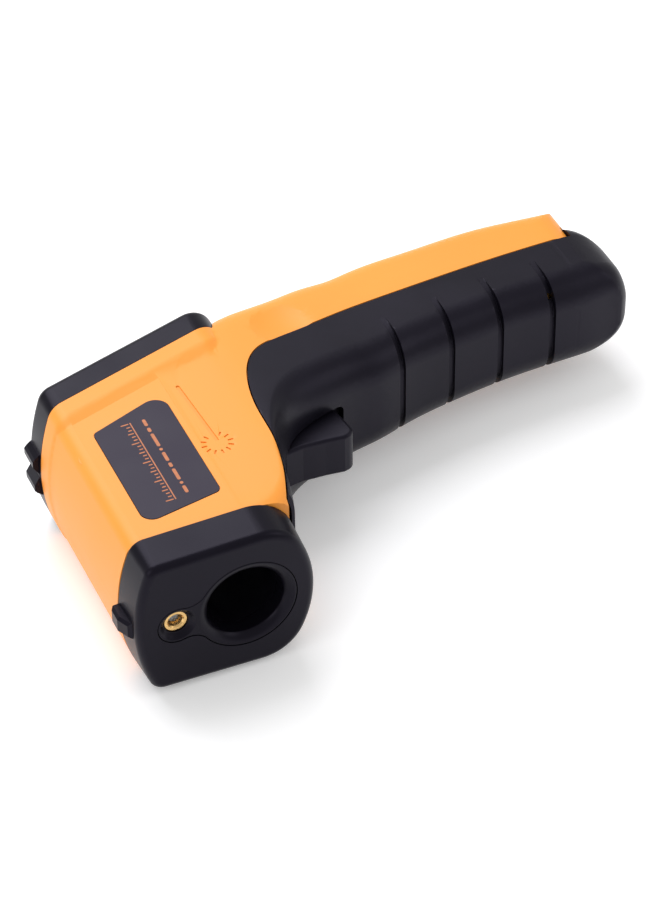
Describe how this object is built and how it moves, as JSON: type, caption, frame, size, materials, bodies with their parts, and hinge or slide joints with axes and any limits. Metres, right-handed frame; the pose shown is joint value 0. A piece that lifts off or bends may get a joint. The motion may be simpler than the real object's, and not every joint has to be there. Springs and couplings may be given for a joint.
{
  "type": "infrared thermometer",
  "caption": "Pistol-shaped infrared thermometer with sensor funnel, laser pointer, trigger, rear display with keys, and a hinged grip over the battery bay.",
  "frame": {"origin": "centre of the bounding box in X and Y, at the level of the surface it lies on", "axes": "+X from the sights to the foot of the handle, -Y out of the muzzle, +Z from the side it lies on to the side that faces up"},
  "size_m": [0.164, 0.0963, 0.0413],
  "materials": {
    "orange_plastic": "satin",
    "black_plastic": "satin",
    "grip_plastic": "satin",
    "insert_plastic": "satin",
    "label_film": "satin",
    "brass": "polished",
    "steel": "satin",
    "nickel": "polished",
    "clear_window": "polished",
    "lens_glass": "polished",
    "fresnel_plastic": "satin",
    "lcd_glass": "polished",
    "white_plastic": "satin",
    "key_rubber": "matte",
    "board_green": "satin",
    "chip_black": "matte",
    "cell_wrap": "gloss",
    "wire_red": "gloss"
  },
  "bodies": {
    "root": {"housing_left": "orange_plastic", "housing_right": "orange_plastic", "front_cap": "black_plastic", "nose_insert": "insert_plastic", "sensor_tube": "insert_plastic", "fresnel_lens": "fresnel_plastic", "lens_ring": "insert_plastic", "thermopile": "nickel", "sensor_board": "board_green", "laser_barrel": "brass", "laser_lens": "lens_glass", "laser_board": "board_green", "rear_cap": "black_plastic", "lcd_window": "clear_window", "lcd_panel": "lcd_glass", "lcd_backlight": "white_plastic", "display_board": "board_green", "board_screws": "steel", "board_components": "chip_black", "buzzer": "chip_black", "key_switches": "nickel", "door_pin": "steel", "trigger_pin": "steel", "trigger_switch": "chip_black", "battery_tray": "black_plastic", "cell_a": "cell_wrap", "cell_b": "cell_wrap", "contact_plates": "nickel", "contact_springs": "nickel", "housing_screws": "steel", "label_left": "label_film", "label_right": "label_film", "battery_leads": "wire_red", "trigger_leads": "wire_red", "sensor_leads": "wire_red", "laser_leads": "wire_red"},
    "battery_door": {"battery_door": "grip_plastic"},
    "trigger": {"trigger": "grip_plastic", "trigger_spring": "steel"},
    "key_unit": {"key_unit": "key_rubber"},
    "key_laser": {"key_laser": "key_rubber"},
    "key_light": {"key_light": "key_rubber"}
  },
  "joints": [
    {"name": "battery_door_hinge", "type": "hinge", "parent": "root", "child": "battery_door", "pos_m": [0.0743, 0.0369, 0.02075], "axis": [0, 0, 1], "range_deg": [0, 33]},
    {"name": "trigger_pull", "type": "hinge", "parent": "root", "child": "trigger", "pos_m": [-0.0276, 0.0006, 0.02075], "axis": [0, 0, 1], "range_deg": [0, 8], "stiffness_Nm_per_rad": 0.15, "springref_deg": -8.59},
    {"name": "key_unit_press", "type": "slide", "parent": "root", "child": "key_unit", "axis": [0.284, -0.9588, 0], "range_m": [0, 0.0006], "stiffness_N_per_m": 400, "springref_m": -0.0006},
    {"name": "key_laser_press", "type": "slide", "parent": "root", "child": "key_laser", "axis": [0.284, -0.9588, 0], "range_m": [0, 0.0006], "stiffness_N_per_m": 400, "springref_m": -0.0006},
    {"name": "key_light_press", "type": "slide", "parent": "root", "child": "key_light", "axis": [0.284, -0.9588, 0], "range_m": [0, 0.0006], "stiffness_N_per_m": 400, "springref_m": -0.0006}
  ]
}
